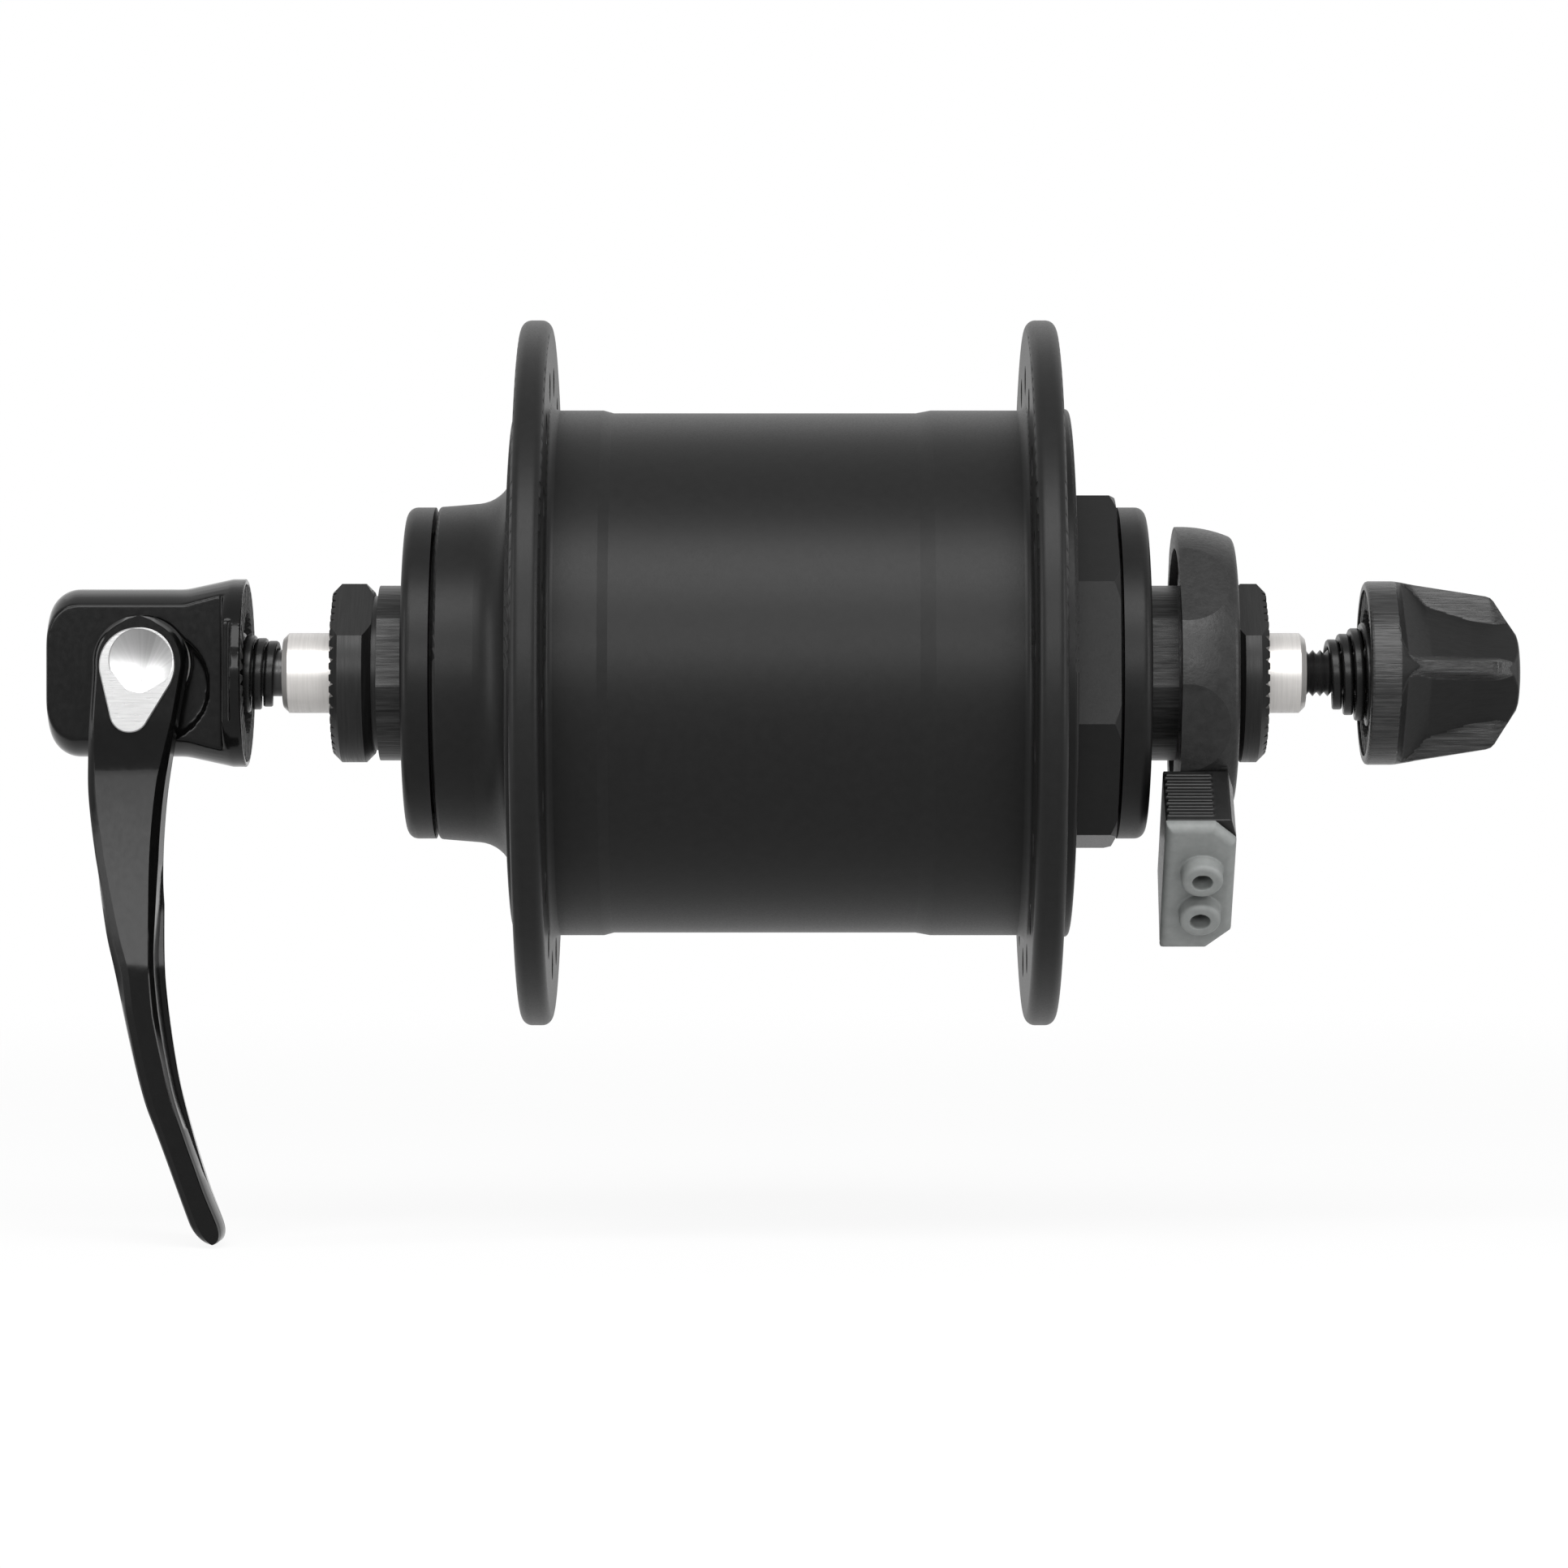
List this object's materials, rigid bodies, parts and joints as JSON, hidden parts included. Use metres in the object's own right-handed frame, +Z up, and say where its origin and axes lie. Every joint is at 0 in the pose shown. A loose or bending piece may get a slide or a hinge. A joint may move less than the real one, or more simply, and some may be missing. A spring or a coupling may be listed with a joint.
{
  "type": "hub dynamo",
  "caption": "Front wheel hub dynamo with spoked flanges, a side connector plug, and a quick release skewer with cam lever, two conical springs and an adjusting nut.",
  "frame": {"origin": "on the axle line, midway between the fork faces of the two locknuts", "axes": "+X along the axle towards the connector side, +Z up with the lever hanging down, -Y towards the viewer"},
  "size_m": [0.1576, 0.0756, 0.0986],
  "materials": {
    "shell_black": "satin black paint",
    "cover_black": "satin black paint",
    "locknut_black": "satin",
    "cone_steel": "brushed",
    "axle_steel": "polished",
    "bearing_steel": "polished",
    "seal_rubber": "matte",
    "core_steel": "matte",
    "magnet_dark": "matte",
    "bobbin_plastic": "matte",
    "winding_copper": "enamelled",
    "contact_brass": "satin",
    "terminal_dark": "matte",
    "plug_black": "matte",
    "plug_grey": "matte",
    "release_black": "gloss black paint",
    "clamp_steel": "matte",
    "badge_metal": "brushed",
    "cam_steel": "satin",
    "spring_black": "satin",
    "nut_black": "satin black paint"
  },
  "bodies": {
    "hub_axle": {"axle": "axle_steel", "left_locknut": "locknut_black", "right_locknut": "locknut_black", "left_lock_washer": "locknut_black", "left_cone": "cone_steel", "right_cone": "cone_steel", "left_dust_cover": "cover_black", "right_dust_cover": "cover_black", "left_seal": "seal_rubber", "right_seal": "seal_rubber", "stator_core": "core_steel", "stator_nuts": "core_steel", "left_claw_plate": "core_steel", "right_claw_plate": "core_steel", "coil_bobbin": "bobbin_plastic", "coil_winding": "winding_copper", "lead_wire": "winding_copper", "terminal_housing": "terminal_dark", "terminal_contacts": "contact_brass"},
    "hub_shell": {"hub_shell": "shell_black", "end_cap": "shell_black", "end_cap_o_ring": "seal_rubber", "left_bearing_cup": "bearing_steel", "right_bearing_cup": "bearing_steel", "magnet_yoke_ring": "core_steel", "rotor_magnets": "magnet_dark"},
    "left_bearing": {"left_ball_cage": "bearing_steel", "left_balls": "bearing_steel"},
    "right_bearing": {"right_ball_cage": "bearing_steel", "right_balls": "bearing_steel"},
    "connector": {"plug_body": "plug_black", "plug_cover": "plug_grey", "plug_contacts": "contact_brass"},
    "left_spring": {"left_spring": "spring_black"},
    "qr_housing": {"qr_housing": "release_black", "qr_clamp_ring": "clamp_steel", "cam_bushings": "bobbin_plastic"},
    "qr_lever": {"qr_lever": "release_black", "lever_badge": "badge_metal", "cam_shaft": "cam_steel", "cam_cap": "cam_steel"},
    "skewer": {"skewer_rod": "cam_steel"},
    "nut_ring": {"nut_face_ring": "clamp_steel", "right_spring": "spring_black"},
    "adjusting_nut": {"adjusting_nut": "nut_black", "nut_insert": "contact_brass"}
  },
  "joints": [
    {"name": "hub_spin", "type": "hinge", "parent": "hub_axle", "child": "hub_shell", "pos_m": [0, 0, 0], "axis": [1, 0, 0], "continuous": true},
    {"name": "left_cage_spin", "type": "hinge", "parent": "hub_axle", "child": "left_bearing", "pos_m": [0, 0, 0], "axis": [1, 0, 0], "continuous": true},
    {"name": "right_cage_spin", "type": "hinge", "parent": "hub_axle", "child": "right_bearing", "pos_m": [0, 0, 0], "axis": [1, 0, 0], "continuous": true},
    {"name": "connector_pull", "type": "slide", "parent": "hub_axle", "child": "connector", "axis": [0, -0.7431, -0.6691], "range_m": [0, 0.006]},
    {"name": "qr_swivel", "type": "hinge", "parent": "hub_axle", "child": "left_spring", "pos_m": [0, 0, 0], "axis": [1, 0, 0], "continuous": true},
    {"name": "qr_float", "type": "slide", "parent": "left_spring", "child": "qr_housing", "axis": [1, 0, 0], "range_m": [-0.001, 0.002], "stiffness_N_per_m": 300, "deforming": ["left_spring"]},
    {"name": "lever_swing", "type": "hinge", "parent": "qr_housing", "child": "qr_lever", "pos_m": [-0.07, 0, 0.001], "axis": [0, 1, 0], "range_deg": [0, 180]},
    {"name": "skewer_draw", "type": "slide", "parent": "qr_housing", "child": "skewer", "axis": [1, 0, 0], "range_m": [0, 0.0016]},
    {"name": "nut_turn", "type": "hinge", "parent": "nut_ring", "child": "adjusting_nut", "pos_m": [0, 0, 0], "axis": [1, 0, 0], "range_deg": [-720, 1800]},
    {"name": "nut_travel", "type": "slide", "parent": "skewer", "child": "nut_ring", "axis": [1, 0, 0], "range_m": [-0.00161, 0.00401], "deforming": ["right_spring"]}
  ],
  "couplings": [
    {"joint": "left_cage_spin", "follows": "hub_spin", "ratio": 0.5751},
    {"joint": "right_cage_spin", "follows": "hub_spin", "ratio": 0.5751},
    {"joint": "skewer_draw", "follows": "lever_swing", "m_per_rad": 0.00050929},
    {"joint": "nut_travel", "follows": "nut_turn", "m_per_rad": 0.00012732}
  ]
}
